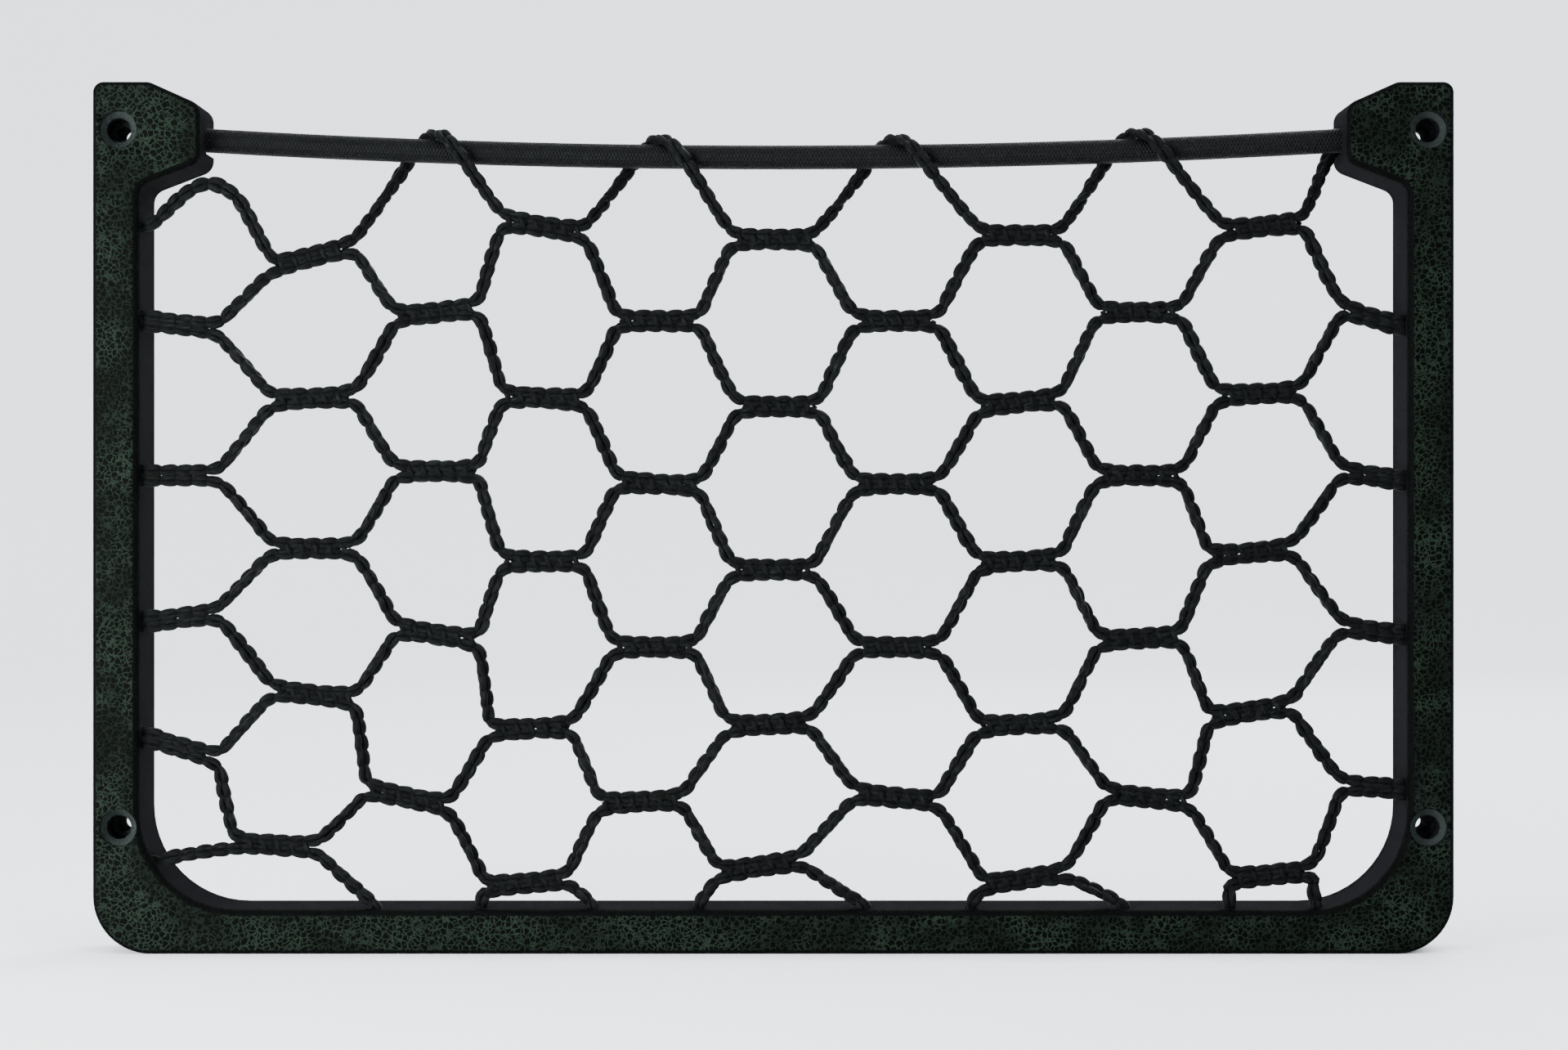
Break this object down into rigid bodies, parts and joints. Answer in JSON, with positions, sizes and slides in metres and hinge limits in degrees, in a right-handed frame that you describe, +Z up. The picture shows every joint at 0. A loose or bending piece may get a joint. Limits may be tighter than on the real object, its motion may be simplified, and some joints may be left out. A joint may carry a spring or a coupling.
{
  "type": "framed elastic storage net",
  "caption": "Wall-mounted storage pocket: a U-shaped moulded frame holding a six-sided knitted net, open at the top under a stretched elastic cord.",
  "frame": {"origin": "centre of the four wall screws, on the plane of the wall behind the frame", "axes": "+X to the right seen from the front, -Y out of the wall to the front, +Z up"},
  "size_m": [0.32, 0.018, 0.205],
  "materials": {
    "frame_plastic": "black moulded plastic with a fine leather grain",
    "elastic_cord": "black braided sheath of an elastic cord",
    "net_yarn": "black chain-knitted polyester cord",
    "ferrule_metal": "plain crimped metal"
  },
  "bodies": {
    "frame_body": {"frame": "frame_plastic", "bungee_end_left": "elastic_cord", "bungee_end_right": "elastic_cord", "ferrule_left": "ferrule_metal", "ferrule_right": "ferrule_metal", "net_loops_left": "net_yarn", "net_loops_right": "net_yarn", "net_loops_bottom": "net_yarn"},
    "net_field": {"bungee_cord": "elastic_cord", "net_cord_01": "net_yarn", "net_cord_02": "net_yarn", "net_cord_03": "net_yarn", "net_cord_04": "net_yarn", "net_cord_05": "net_yarn", "net_cord_06": "net_yarn", "net_cord_07": "net_yarn", "net_cord_08": "net_yarn", "net_cord_09": "net_yarn", "net_cord_10": "net_yarn"}
  },
  "joints": [
    {"name": "pocket_opening", "type": "hinge", "parent": "frame_body", "child": "net_field", "pos_m": [0, -0.0146, -0.1012], "axis": [1, 0, 0], "range_deg": [0, 16], "stiffness_Nm_per_rad": 8, "springref_deg": -2.86}
  ]
}
